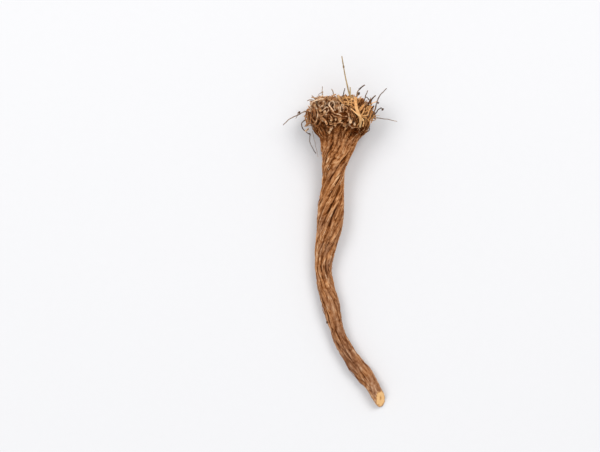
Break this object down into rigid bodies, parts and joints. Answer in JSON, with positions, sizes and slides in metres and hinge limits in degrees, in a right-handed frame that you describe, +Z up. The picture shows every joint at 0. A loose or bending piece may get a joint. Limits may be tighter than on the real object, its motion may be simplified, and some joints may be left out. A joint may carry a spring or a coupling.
{
  "type": "dried strapwort root",
  "caption": "Dried twisted taproot with furrowed bark, a bushy crown of short dry stem bases and a slanting cut at its thin end, lying on its side.",
  "frame": {"origin": "on the surface that the root lies on, below the middle of its bounding box", "axes": "+Y from the cut end towards the crown, +Z up from the surface, +X to the right seen from above with the crown at the top"},
  "size_m": [0.0629, 0.1928, 0.032],
  "materials": {
    "dry_bark": "dry, matt and furrowed",
    "straw": "dry, smooth and faintly glossy"
  },
  "bodies": {
    "root": {"taproot": "dry_bark", "straw_stem": "straw"}
  },
  "joints": []
}
